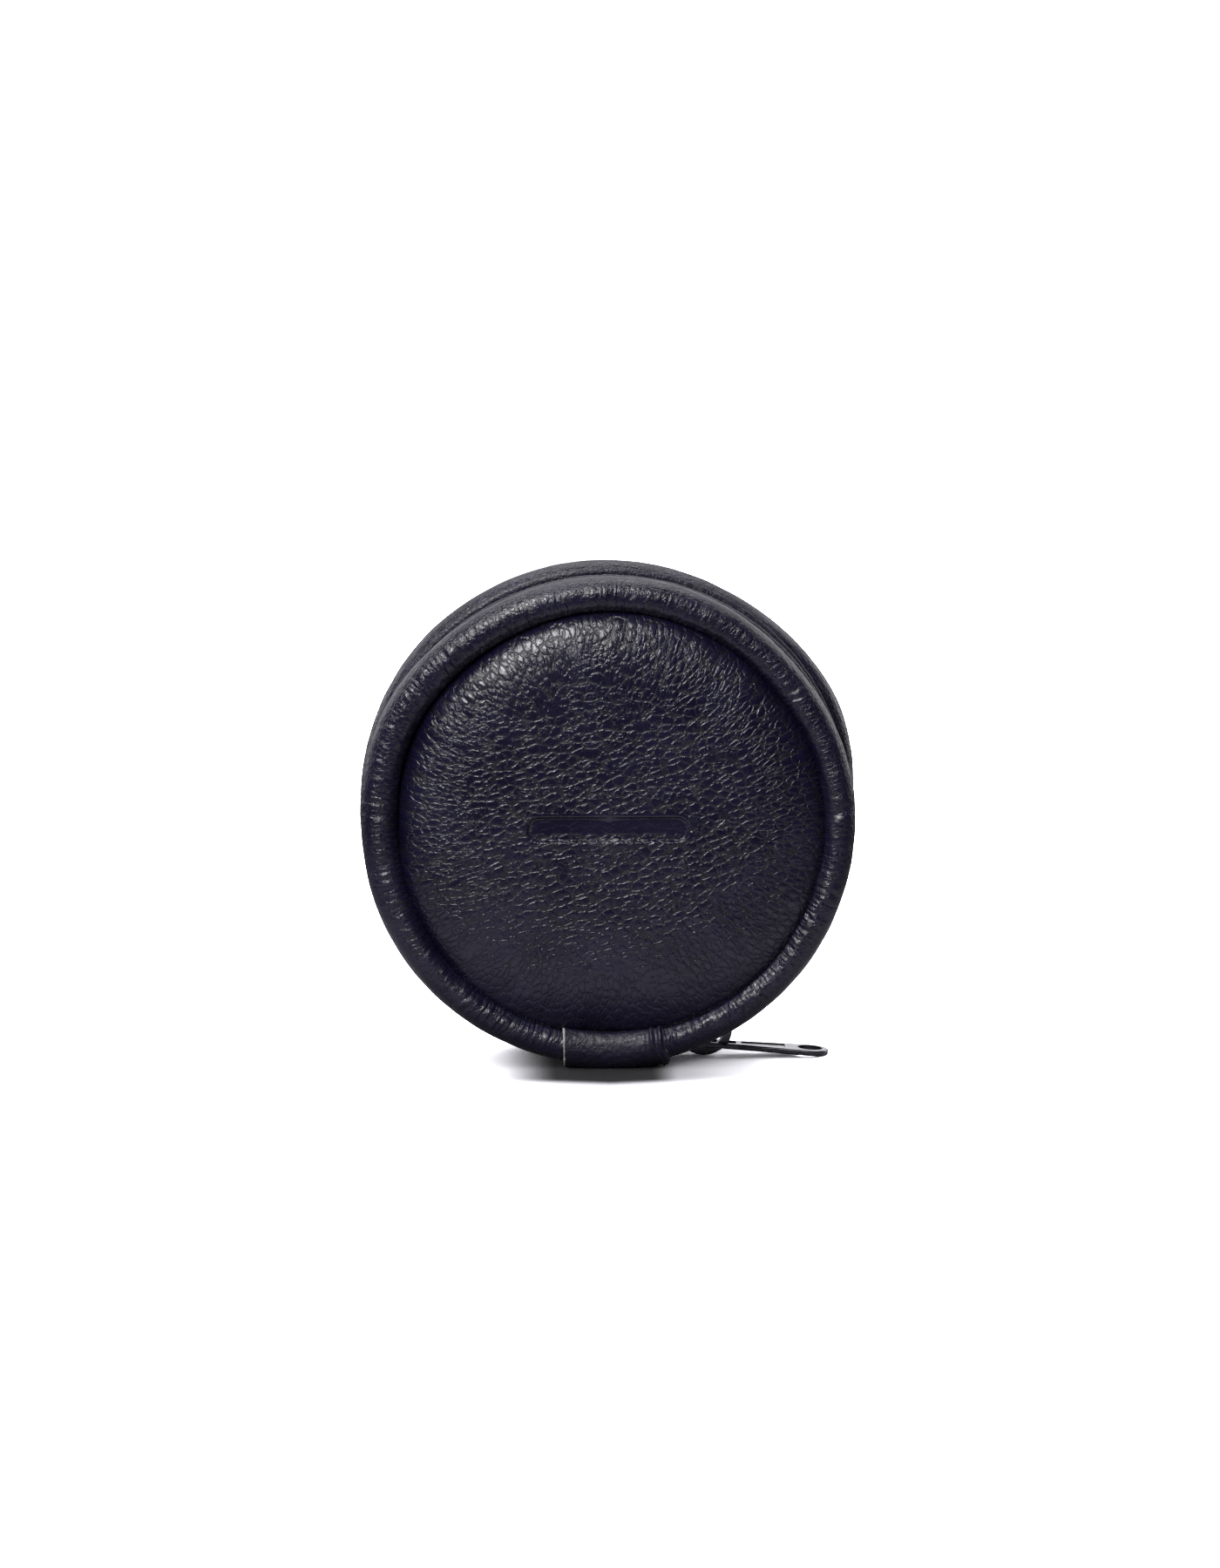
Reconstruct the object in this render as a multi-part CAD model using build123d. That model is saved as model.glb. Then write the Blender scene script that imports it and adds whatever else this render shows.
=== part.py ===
from build123d import *
from math import asin, cos, degrees, radians, sin
import os

# Round zipped coin purse, in millimetres. It stands on its rim with +Z up and its front facing -Y.
# The origin is on the surface it stands on, below the middle of the purse.
# Two padded round panels, each edged with piping, are joined by a gusset whose middle is the zip.
# An angle is measured round the purse from its lowest point, going up the +X side.
# A "side" is -1 for the front half (the lid) and +1 for the back half (the base).

# --- driving dimensions -------------------------------------------------------------------------
CENTRE_HEIGHT = 48.3        # panel centre above the surface it stands on
PIPING_PITCH_RADIUS = 44.35 # panel centre to the middle of the piping cord
PIPING_RADIUS = 3.65
CORD_RADIUS = 2.55
RING_OFFSET = 11.0          # zip line to the plane of each piping ring
LEATHER = 1.05
CLOTH = 0.4
GAP = 0.05                  # air between layers that touch

SEAM_INNER_RADIUS = 37.7    # where the sewn edges inside the rim end
PANEL_EDGE_RADIUS = 40.8    # bottom of the crease between panel and piping
DOME_OFFSET = 15.9          # zip line to the crown of the padded panel
DOME_SHOULDER_RADIUS = 33.0 # where the padded panel starts to roll down into the crease
BOARD_THICKNESS = 1.2

GUSSET_RADIUS = 45.975      # middle of the leather gusset strip
GUSSET_EDGE = 4.3           # zip line to the turned edge of the leather beside the zip
TAPE_RADIUS = 45.175        # middle of the woven tape
TAPE_THICKNESS = 0.45
TAPE_WIDTH = 6.1            # zip line to the tape's outer edge
COIL_INNER_RADIUS = 45.45
COIL_OUTER_RADIUS = 46.75
COIL_EDGE = 2.5             # zip line to the outside of each coil
CHAIN_SLOT = 0.45           # half of the slot between the coils, where the slider's post runs
LINING_RADIUS = 44.6        # middle of the cloth band inside the gusset
THREAD_RADIUS = 0.22
TOPSTITCH_OFFSET = 5.1      # zip line to the row of stitches in the gusset

HINGE_HALF_ANGLE = 14.5     # the leather hinge at the bottom, each way
CHAIN_START = 17.2          # where the zip's coils begin beyond the hinge, on both sides
LID_CHAIN_START = 33.6      # where the coil that opens with the lid begins
BASE_CHAIN_END = 32.0       # where the short front ends of chain that stay with the base stop
TAPE_TUCK = 4.4             # how far the tape runs on behind the hinge leather
STOP_LENGTH = 1.1

WRAP_START, WRAP_END = -10.7, 14.3  # leather that covers the join in the piping
WRAP_THICKNESS = 1.1
WRAP_INNER_RADIUS = 41.3    # the wrap's edge in the crease

SLIDER_ANGLE = 24.0         # where the slider parks when the purse is shut
SLIDER_LENGTH = 11.6
SLIDER_HALF_WIDTH = 4.0
SLIDER_TAIL_HALF_WIDTH = 3.3
PLATE = 1.05
PLATE_CLEARANCE = 0.2
POST_HALF_WIDTH = 0.28
CROWN_LENGTH = 10.0
CROWN_RISE = 4.1
CROWN_HALF_WIDTH = 1.1
CROWN_STRIP = 1.55

PULL_THICKNESS = 1.1
PULL_END_RADIUS = 3.6
PULL_HOLE_RADIUS = 2.4
PULL_HOLE_OFFSET = 21.0     # pivot to the hole
PULL_HEAD_HALF_WIDTH = 2.3
PULL_EYE_HALF_WIDTH = 1.4
PULL_EYE_END = 6.5
PULL_RECESS_START, PULL_RECESS_END = 7.5, 16.1
PULL_RECESS_DEPTH = 0.22
PULL_RECESS_RIM = 0.75
PIVOT_SHIFT = -1.6          # pivot from the middle of the crown, along the zip
PIVOT_RISE = 1.55           # pivot above the slider's outer plate

SIDES = {"front": -1, "back": 1}
FULL_TURN = 360.0
CENTRE = Vector(0, 0, CENTRE_HEIGHT)
RING_AXIS = Axis((0, 0, CENTRE_HEIGHT), (0, -1, 0))
# Sketches in this plane have the distance from the ring axis as x and the row's Y as y.
RADIAL_PLANE = Plane(origin=(0, 0, CENTRE_HEIGHT), x_dir=(0, 0, -1), z_dir=(1, 0, 0))

os.makedirs("parts", exist_ok=True)


# --- shared construction ------------------------------------------------------------------------
def ring(profile, start=0.0, end=FULL_TURN):
    """Turns a radial profile round the purse from one angle to another."""
    solid = revolve(RADIAL_PLANE * profile, RING_AXIS, end - start)
    return solid.rotate(RING_AXIS, start) if start else solid


def rectangle(inner, outer, low, high):
    """A radial profile from radius inner to outer, between two distances along Y."""
    corners = [(inner, low), (outer, low), (outer, high), (inner, high)]
    return make_face(Polyline(*corners, close=True))


def on_side(side, inner, outer, near, far):
    """A rectangle on one side of the zip line, from near to far away from it."""
    low, high = sorted((side * near, side * far))
    return rectangle(inner, outer, low, high)


def mirrored(side, points):
    """Points given for the back half, taken to the side asked for."""
    return [(radius, side * along) for radius, along in points]


def round_piping(side, radius):
    """A disc in section, centred on the middle of one side's piping."""
    return Pos(PIPING_PITCH_RADIUS, side * RING_OFFSET) * Circle(radius)


def write(name, shape):
    shape.label = name
    export_step(shape, f"parts/{name}.step")


# --- seam stack ---------------------------------------------------------------------------------
# Inside the rim the sewn edges lie on each other: panel outside, then piping, gusset and linings.
PIPING_EDGE = (10.45, 11.45)        # distances from the zip line
PANEL_RIM = PIPING_EDGE[1] + 2 * GAP
GUSSET_SEAM = (PIPING_EDGE[0] - GAP - LEATHER, PIPING_EDGE[0] - GAP)
LINING_TOP = GUSSET_SEAM[0] - GAP
BOARD_BOTTOM = LINING_TOP + 2 * GAP
LINING_DISC_RADIUS = 39.8


# --- piping -------------------------------------------------------------------------------------
def piping_cord(side):
    return ring(round_piping(side, CORD_RADIUS))


def piping(side):
    """Leather folded round the cord, with both edges sewn into the rim as one flange."""
    flange = on_side(side, SEAM_INNER_RADIUS, PIPING_PITCH_RADIUS - CORD_RADIUS - LEATHER / 2, *PIPING_EDGE)
    return ring(round_piping(side, PIPING_RADIUS) + flange - round_piping(side, CORD_RADIUS + GAP))


def joint_wrap(side):
    """Leather over the piping's join, from the crease round to the gusset, flat where the purse stands."""
    sleeve = round_piping(side, PIPING_RADIUS + WRAP_THICKNESS) - round_piping(side, PIPING_RADIUS + GAP)
    beyond_crease = on_side(side, 0, WRAP_INNER_RADIUS, 0, 2 * RING_OFFSET)
    gusset_room = on_side(side, 0, GUSSET_RADIUS + LEATHER / 2 + GAP, 0, RING_OFFSET + 1)
    solid = ring(sleeve - beyond_crease - gusset_room, WRAP_START, WRAP_END)
    return solid - Box(200, 200, 100, align=(Align.CENTER, Align.CENTER, Align.MAX))


# --- padded panels ------------------------------------------------------------------------------
def dome_line(side, drop, edge_radius):
    """The panel's face in section: nearly flat in the middle, rolling down into the crease."""
    crown = DOME_OFFSET - drop
    points = mirrored(side, [(0, crown), (DOME_SHOULDER_RADIUS / 2, crown - 0.28),
                             (DOME_SHOULDER_RADIUS, crown - 1.1), (edge_radius, PANEL_RIM + 0.55)])
    top = ThreePointArc(*points[:3])
    return top, TangentArc(points[2], points[3], tangent=top % 1)


def panel(side):
    """Leather face: a padded dome with a flat sewn edge that turns in under the crease."""
    top, roll = dome_line(side, 0, PANEL_EDGE_RADIUS)
    under, under_roll = dome_line(side, LEATHER, PANEL_EDGE_RADIUS - LEATHER)
    foot = mirrored(side, [(PANEL_EDGE_RADIUS - 0.2, PANEL_RIM), (SEAM_INNER_RADIUS, PANEL_RIM),
                           (SEAM_INNER_RADIUS, PANEL_RIM + 0.5)])
    sewn = Polyline(roll @ 1, *foot, under_roll @ 1)
    return ring(make_face([top, roll, sewn, under_roll, under, Line(under @ 0, top @ 0)]))


def foam(side):
    """Soft pad between the board and the leather face."""
    low = BOARD_BOTTOM + BOARD_THICKNESS + GAP
    edge = SEAM_INNER_RADIUS - 2 * GAP
    crown = DOME_OFFSET - LEATHER - GAP
    points = mirrored(side, [(0, crown), (DOME_SHOULDER_RADIUS / 2, crown - 0.34),
                             (DOME_SHOULDER_RADIUS, crown - 1.35), (edge, PANEL_RIM + 0.3),
                             (edge, low), (0, low)])
    return ring(make_face([ThreePointArc(*points[:3]), Polyline(*points[2:], points[0])]))


def board(side):
    return ring(on_side(side, 0, SEAM_INNER_RADIUS - GAP, BOARD_BOTTOM, BOARD_BOTTOM + BOARD_THICKNESS))


def lining(side):
    return ring(on_side(side, 0, LINING_DISC_RADIUS, LINING_TOP - CLOTH, LINING_TOP))


# --- gusset -------------------------------------------------------------------------------------
def layer_behind_piping(side, near, strip_radius, distance, thickness, end):
    """One layer: a strip from near the zip, then round the inside of the piping to a distance end."""
    outer = strip_radius + thickness / 2
    flat = on_side(side, strip_radius - thickness / 2, outer, near, RING_OFFSET)
    bend = round_piping(side, distance + thickness) & on_side(side, 0, outer, 0, end)
    return flat + bend - round_piping(side, distance)


def gusset_profile(side, near):
    """Leather of the gusset with its sewn edge, which lies under the piping's flange."""
    layer = layer_behind_piping(side, near, GUSSET_RADIUS, PIPING_RADIUS + GAP, LEATHER, GUSSET_SEAM[1])
    seam = on_side(side, SEAM_INNER_RADIUS, PANEL_EDGE_RADIUS, *GUSSET_SEAM)
    return layer + seam - round_piping(side, PIPING_RADIUS + GAP)


def lining_profile(side, near):
    """Cloth inside the gusset, out to the edge of the panel's lining."""
    distance = PIPING_RADIUS + LEATHER + 2 * GAP
    return layer_behind_piping(side, near, LINING_RADIUS, distance, CLOTH, LINING_TOP - CLOTH - GAP)


def gusset(side):
    return ring(gusset_profile(side, GUSSET_EDGE), HINGE_HALF_ANGLE, FULL_TURN - HINGE_HALF_ANGLE)


def gusset_lining(side):
    return ring(lining_profile(side, GUSSET_EDGE + 0.1), HINGE_HALF_ANGLE, FULL_TURN - HINGE_HALF_ANGLE)


def across(profile):
    """The same section on both sides of the zip line, joined across it, over the hinge's angle."""
    end = HINGE_HALF_ANGLE - 0.1
    return ring(profile(-1, 0) + profile(1, 0), -end, end)


def topstitch(side):
    """The thread beside the zip, laid on the gusset's leather."""
    row = Pos(GUSSET_RADIUS + LEATHER / 2 + GAP / 2 + THREAD_RADIUS, side * TOPSTITCH_OFFSET)
    return ring(row * Circle(THREAD_RADIUS), CHAIN_START, FULL_TURN - CHAIN_START)


# --- zip ----------------------------------------------------------------------------------------
TAPE_START = CHAIN_START - TAPE_TUCK


def tape_profile(side, far):
    return on_side(side, TAPE_RADIUS - TAPE_THICKNESS / 2, TAPE_RADIUS + TAPE_THICKNESS / 2,
                   CHAIN_SLOT, far)


def coil_profile(side):
    """One coil's envelope, with its outer corners rounded."""
    face = on_side(side, COIL_INNER_RADIUS, COIL_OUTER_RADIUS, CHAIN_SLOT, COIL_EDGE)
    outer = face.vertices().filter_by_position(Axis.X, COIL_OUTER_RADIUS - GAP, COIL_OUTER_RADIUS + GAP)
    return fillet(outer, 0.7)


def both_ends(profile, start, end):
    """Short stretches of one profile beside the hinge, on both sides of it."""
    return Compound(children=[ring(profile, start, end), ring(profile, FULL_TURN - end, FULL_TURN - start)])


def top_stops():
    """A crimped stop at the shut end of each coil."""
    sweep = degrees(STOP_LENGTH / COIL_OUTER_RADIUS)
    return Compound(children=[ring(coil_profile(side), CHAIN_START - sweep - 0.1, CHAIN_START - 0.1)
                              for side in SIDES.values()])


def bottom_stop():
    """One crimped stop that holds both coils together at the other end."""
    sweep = degrees(STOP_LENGTH / COIL_OUTER_RADIUS)
    end = FULL_TURN - CHAIN_START + 0.1
    return ring(rectangle(COIL_INNER_RADIUS, COIL_OUTER_RADIUS, -COIL_EDGE, COIL_EDGE), end, end + sweep)


# --- slider and pull ----------------------------------------------------------------------------
OUTER_PLATE_RADIUS = COIL_OUTER_RADIUS + PLATE_CLEARANCE
PLATE_TOP_RADIUS = OUTER_PLATE_RADIUS + PLATE
INNER_PLATE_RADIUS = TAPE_RADIUS - TAPE_THICKNESS / 2 - PLATE_CLEARANCE
FLANGE_INNER = COIL_EDGE + 0.25
TAPE_SLIT = 0.25            # air above and below the tape where it leaves the slider
OUTWARD = Vector(sin(radians(SLIDER_ANGLE)), 0, -cos(radians(SLIDER_ANGLE)))
ALONG = Vector(cos(radians(SLIDER_ANGLE)), 0, sin(radians(SLIDER_ANGLE)))
# Slider plane: x runs along the zip away from the hinge, y is the row's Y, z points out of the purse.
SLIDER_PLANE = Plane(origin=CENTRE + OUTWARD * PLATE_TOP_RADIUS, x_dir=ALONG, z_dir=OUTWARD)


def slider_outline():
    """Plan of the slider: broad shoulders towards the hinge and a narrower tail."""
    half = SLIDER_LENGTH / 2
    corners = [(-half, -2.6), (-half + 1.4, -SLIDER_HALF_WIDTH), (-0.6, -SLIDER_HALF_WIDTH),
               (1.6, -SLIDER_TAIL_HALF_WIDTH), (half, -SLIDER_TAIL_HALF_WIDTH),
               (half, SLIDER_TAIL_HALF_WIDTH), (1.6, SLIDER_TAIL_HALF_WIDTH),
               (-0.6, SLIDER_HALF_WIDTH), (-half + 1.4, SLIDER_HALF_WIDTH), (-half, 2.6)]
    face = make_face(Polyline(*corners, close=True))
    return fillet(face.vertices(), 0.6)


def slider_body():
    """Two plates with inturned flanges, joined by a thin post that runs between the coils."""
    half_angle = degrees(SLIDER_LENGTH / 2 / COIL_INNER_RADIUS) + 1
    tape_top = TAPE_RADIUS + TAPE_THICKNESS / 2 + TAPE_SLIT
    tape_bottom = INNER_PLATE_RADIUS
    wide = SLIDER_HALF_WIDTH
    section = rectangle(OUTER_PLATE_RADIUS, PLATE_TOP_RADIUS + 1, -wide, wide)
    section += rectangle(tape_bottom - PLATE, tape_bottom, -wide, wide)
    for side in SIDES.values():
        section += on_side(side, tape_top, OUTER_PLATE_RADIUS, FLANGE_INNER, wide)
    shell = ring(section, SLIDER_ANGLE - half_angle, SLIDER_ANGLE + half_angle)
    post_section = rectangle(tape_bottom - GAP, OUTER_PLATE_RADIUS + GAP, -POST_HALF_WIDTH, POST_HALF_WIDTH)
    post_end = SLIDER_ANGLE - degrees(1.2 / COIL_INNER_RADIUS)
    post = ring(post_section, SLIDER_ANGLE - half_angle, post_end)
    plan = extrude(SLIDER_PLANE * slider_outline(), -(PLATE_TOP_RADIUS - tape_bottom + PLATE + 1))
    body = (shell + post) & plan
    top_edges = body.edges().filter_by(lambda edge: edge.length > 1).group_by(
        lambda edge: round((edge.center() - CENTRE).dot(OUTWARD), 2))[-1]
    return fillet(top_edges, 0.3) if top_edges else body


def crown_arch(half_length, rise):
    """Half an ellipse over the slider's outer plate, in the plane along the zip."""
    return Ellipse(half_length, rise) & Pos(0, rise / 2) * Rectangle(2 * half_length, rise)


def slider_crown():
    """The arched strip that the pull hangs on, staked to the slider's outer plate."""
    plane = Plane(origin=SLIDER_PLANE.origin + OUTWARD * GAP / 2, x_dir=ALONG, z_dir=Vector(0, -1, 0))
    half = CROWN_LENGTH / 2
    if (plane.y_dir - OUTWARD).length > GAP:
        plane = Plane(origin=plane.origin, x_dir=ALONG, z_dir=Vector(0, 1, 0))
    face = crown_arch(half, CROWN_RISE) - crown_arch(half - CROWN_STRIP, CROWN_RISE - CROWN_STRIP)
    arch = extrude(plane * face, CROWN_HALF_WIDTH, both=True)
    return arch


PIVOT = SLIDER_PLANE.origin + ALONG * PIVOT_SHIFT + OUTWARD * PIVOT_RISE
PULL_TIP = PULL_HOLE_OFFSET + PULL_END_RADIUS
# The pull droops until its tip rests on the surface under the purse.
DROOP = degrees(asin((PIVOT.Z - PULL_THICKNESS / 2) / PULL_TIP))
PULL_DIRECTION = Vector(cos(radians(DROOP)), 0, -sin(radians(DROOP)))
PULL_PLANE = Plane(origin=PIVOT, x_dir=PULL_DIRECTION, z_dir=Vector(sin(radians(DROOP)), 0, cos(radians(DROOP))))


def pull_outline():
    """Plan of the pull: a narrow head that widens to a round end."""
    head = PULL_HEAD_HALF_WIDTH
    neck = PULL_EYE_END + 0.8
    spread = asin(min(1.0, (PULL_END_RADIUS - head) / (PULL_HOLE_OFFSET - neck)))
    tangent = (PULL_HOLE_OFFSET - PULL_END_RADIUS * sin(spread), PULL_END_RADIUS * cos(spread))
    side_line = Polyline((0, head), (neck, head), tangent)
    end = ThreePointArc(tangent, (PULL_TIP, 0), (tangent[0], -tangent[1]))
    other = Polyline((tangent[0], -tangent[1]), (neck, -head), (0, -head))
    return make_face([side_line, end, other, Line((0, -head), (0, head))])


def pull_recess():
    """The sunk field on each face of the pull, with an even rim round it."""
    inner = PULL_HEAD_HALF_WIDTH - PULL_RECESS_RIM
    outer = inner + 0.55
    corners = [(PULL_RECESS_START, -inner), (PULL_RECESS_END, -outer),
               (PULL_RECESS_END, outer), (PULL_RECESS_START, inner)]
    return fillet(make_face(Polyline(*corners, close=True)).vertices(), 0.4)


def pull_tab():
    """Flat metal pull: a round bar in the crown, an eye round the crown's strip and a holed end."""
    half = PULL_THICKNESS / 2
    plate = extrude(PULL_PLANE * pull_outline(), half, both=True)
    flat = Axis(PIVOT, PULL_PLANE.z_dir)
    faces = plate.faces().sort_by(flat)
    rounded = [edge for face in (faces[0], faces[-1]) for edge in face.edges()
               if abs((edge @ 0.5 - PIVOT).dot(PULL_DIRECTION)) > 0.2]
    plate = fillet(rounded, 0.3)
    bar = extrude(Plane(origin=PIVOT, x_dir=PULL_DIRECTION, z_dir=(0, 1, 0)) * Circle(half + 0.03),
                  PULL_HEAD_HALF_WIDTH, both=True)
    eye = Pos(PULL_EYE_END / 2 + 0.05, 0) * RectangleRounded(PULL_EYE_END - 0.1, 2 * PULL_EYE_HALF_WIDTH, 0.5)
    hole = Pos(PULL_HOLE_OFFSET, 0) * Circle(PULL_HOLE_RADIUS)
    body = plate - extrude(PULL_PLANE * (eye + hole), 5, both=True) + bar
    for face_offset in (half - PULL_RECESS_DEPTH, -half - 1):
        body -= extrude(PULL_PLANE.offset(face_offset) * pull_recess(), 1 + PULL_RECESS_DEPTH)
    return body


# --- write every piece --------------------------------------------------------------------------
for half_name, half_side in SIDES.items():
    write(f"{half_name}_piping_cord", piping_cord(half_side))
    write(f"{half_name}_piping", piping(half_side))
    write(f"{half_name}_piping_wrap", joint_wrap(half_side))
    write(f"{half_name}_panel", panel(half_side))
    write(f"{half_name}_foam", foam(half_side))
    write(f"{half_name}_board", board(half_side))
    write(f"{half_name}_lining", lining(half_side))
    write(f"{half_name}_gusset", gusset(half_side))
    write(f"{half_name}_gusset_lining", gusset_lining(half_side))
    write(f"{half_name}_topstitch", topstitch(half_side))

write("hinge_leather", across(gusset_profile))
write("hinge_lining", across(lining_profile))
write("back_zip_tape", ring(tape_profile(1, TAPE_WIDTH), TAPE_START, FULL_TURN - TAPE_START))
write("back_zip_coil", ring(coil_profile(1), CHAIN_START, FULL_TURN - CHAIN_START))
write("front_zip_tape", ring(tape_profile(-1, TAPE_WIDTH), LID_CHAIN_START, FULL_TURN - LID_CHAIN_START))
write("front_zip_coil", ring(coil_profile(-1), LID_CHAIN_START, FULL_TURN - LID_CHAIN_START))
write("front_tape_ends", both_ends(tape_profile(-1, GUSSET_EDGE - 0.4), TAPE_START, BASE_CHAIN_END))
write("front_coil_ends", both_ends(coil_profile(-1), CHAIN_START, BASE_CHAIN_END))
write("zip_top_stops", top_stops())
write("zip_bottom_stop", bottom_stop())
write("slider_body", slider_body())
write("slider_crown", slider_crown())
write("pull_tab", pull_tab())

print("pivot", PIVOT, "droop", DROOP, "plate top", PLATE_TOP_RADIUS)
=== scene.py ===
"""Looks of the round leather coin purse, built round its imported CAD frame. Lengths are in millimetres."""

import bpy
import numpy as np
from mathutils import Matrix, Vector


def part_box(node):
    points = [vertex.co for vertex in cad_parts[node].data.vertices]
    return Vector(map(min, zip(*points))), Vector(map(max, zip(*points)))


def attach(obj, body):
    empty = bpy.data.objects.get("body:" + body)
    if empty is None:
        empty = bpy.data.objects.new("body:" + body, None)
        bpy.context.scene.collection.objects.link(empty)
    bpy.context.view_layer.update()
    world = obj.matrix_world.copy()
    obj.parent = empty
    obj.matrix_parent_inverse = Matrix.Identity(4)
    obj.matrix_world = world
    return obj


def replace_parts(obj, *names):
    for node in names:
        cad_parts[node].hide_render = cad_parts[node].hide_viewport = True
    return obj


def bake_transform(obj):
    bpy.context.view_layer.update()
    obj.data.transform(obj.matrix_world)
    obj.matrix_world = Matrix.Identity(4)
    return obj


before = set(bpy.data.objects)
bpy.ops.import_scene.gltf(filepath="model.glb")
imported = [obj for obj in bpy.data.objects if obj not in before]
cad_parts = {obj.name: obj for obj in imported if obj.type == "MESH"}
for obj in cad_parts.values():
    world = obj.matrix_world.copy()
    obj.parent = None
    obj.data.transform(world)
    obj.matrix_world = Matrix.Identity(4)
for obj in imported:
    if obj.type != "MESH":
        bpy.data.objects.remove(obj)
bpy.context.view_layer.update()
MM = 0.001
TURN = 2 * np.pi
RNG = np.random.default_rng(763)


# --- sizes read from the frame ------------------------------------------------------------------
def span(node):
    """Lowest and highest corner of a CAD node, in millimetres."""
    low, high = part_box(node)
    return np.array(low) / MM, np.array(high) / MM


PIPE_LOW, PIPE_HIGH = span("back_piping")
RIM = (PIPE_HIGH[0] - PIPE_LOW[0]) / 2          # outer radius of the purse
CENTRE = (PIPE_HIGH[2] + PIPE_LOW[2]) / 2       # height of the purse's middle
TUBE = (PIPE_HIGH[1] - PIPE_LOW[1]) / 2         # radius of the piping
RING_Y = (PIPE_HIGH[1] + PIPE_LOW[1]) / 2       # zip line to the piping's middle
PITCH = RIM - TUBE
CORD_LOW, CORD_HIGH = span("back_piping_cord")
CORD_RADIUS = (CORD_HIGH[1] - CORD_LOW[1]) / 2
GUSSET_LOW, GUSSET_HIGH = span("back_gusset")
STRIP_TOP = GUSSET_HIGH[0]
STRIP_EDGE = GUSSET_LOW[1]
TAPE_LOW, TAPE_HIGH = span("back_zip_tape")
TAPE_TOP = TAPE_HIGH[0]
COIL_LOW, COIL_HIGH = span("back_zip_coil")
COIL_TOP = COIL_HIGH[0]
WRAP_LOW, WRAP_HIGH = span("front_piping_wrap")
WRAP_TUBE = -WRAP_LOW[1] - RING_Y
DOME = span("back_panel")[1][1]
LINING_LOW, LINING_HIGH = span("back_lining")
HINGE_HALF = np.arcsin(span("hinge_leather")[1][0] / STRIP_TOP)


def start_angle(low, radius):
    """Angle from the bottom at which a band of that outer radius begins."""
    return np.arccos((CENTRE - low[2]) / radius)


CHAIN_START = start_angle(COIL_LOW, COIL_TOP)
LID_CHAIN_START = start_angle(span("front_zip_coil")[0], COIL_TOP)
ENDS_HIGH = span("front_coil_ends")[1]
BASE_CHAIN_END = np.arcsin(ENDS_HIGH[0] / COIL_TOP)
WRAP_START = np.arcsin(WRAP_LOW[0] / (PITCH + WRAP_TUBE))
WRAP_END = np.arcsin(WRAP_HIGH[0] / (PITCH + WRAP_TUBE))
WRAP_CUT = -WRAP_LOW[0] - 0.25                  # the wrap's straight end is cut this far to the left
PRESS_LENGTH = 31.2                             # the plain bar pressed into the front panel
PRESS_HEIGHT = 4.6
HALVES = {"front": (-1, "lid"), "back": (1, "base")}


# --- number helpers -----------------------------------------------------------------------------
def smooth(edge_a, edge_b, value):
    """0 before edge_a, 1 after edge_b, and an S between them."""
    t = np.clip((value - edge_a) / (edge_b - edge_a), 0, 1)
    return t * t * (3 - 2 * t)


def bump(value, middle, width):
    return np.exp(-((value - middle) / width) ** 2)


def turn_gap(angle, middle):
    """Signed difference between two angles, at most half a turn."""
    return (angle - middle + np.pi) % TURN - np.pi


def noise(u, v, cells_u, cells_v, seed):
    """Smooth noise from -1 to 1; u and v run from 0 to 1, and u joins up with itself."""
    grid = np.random.default_rng(seed).uniform(-1, 1, (cells_u, cells_v + 2))
    u = np.asarray(u, float) % 1 * cells_u
    v = np.clip(v, 0, 1) * cells_v
    i = np.floor(u).astype(int) % cells_u
    j = np.minimum(np.floor(v).astype(int), cells_v)
    s = u - np.floor(u)
    t = v - j
    s = s * s * (3 - 2 * s)
    t = t * t * (3 - 2 * t)
    i2 = (i + 1) % cells_u
    near = grid[i, j] * (1 - s) + grid[i2, j] * s
    far = grid[i, j + 1] * (1 - s) + grid[i2, j + 1] * s
    return near * (1 - t) + far * t


def place(angle, radius, along):
    """Points from an angle round the purse, a radius and a Y."""
    angle, radius, along = np.broadcast_arrays(angle, radius, along)
    return np.stack([radius * np.sin(angle), along, CENTRE - radius * np.cos(angle)], -1)


# --- the front half's own shape: a rim that isn't quite round ------------------------------------
def hump(angle, middle_degrees, width):
    """A smooth bump round one place on the rim."""
    return bump(turn_gap(angle, np.radians(middle_degrees)), 0, width)


def rim_push(angle):
    """How far the front rim stands out from a true circle."""
    return 0.75 * hump(angle, 246, 0.33) - 0.65 * hump(angle, 130, 0.35)


def back_push(angle):
    return 0.3 * hump(angle, 235, 0.4) + 1.6 * hump(angle, 114, 0.38)


def crease_radius(side, angle):
    """Radius of the crease between the panel and the piping, which isn't quite round either."""
    if side > 0:
        return 41.5 + 0.25 * np.sin(angle + 1.0) + 0.15 * np.sin(3 * angle)
    wide = 41.45 + 0.45 * np.sin(angle) + 0.45 * np.cos(angle) + 0.25 * hump(angle, 180, 0.30)
    return wide - 0.7 * hump(angle, 257, 0.33) + 0.45 * hump(angle, 325, 0.40) - 0.45 * hump(angle, 0, 0.15)


def warp(side, angle, radius, along):
    """Moves points outwards with the rim, not at all beside the zip."""
    push = rim_push(angle) if side < 0 else back_push(angle)
    share = smooth(5.0, 9.0, np.abs(along)) * smooth(0, RIM, radius)
    return radius + push * share


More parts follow.
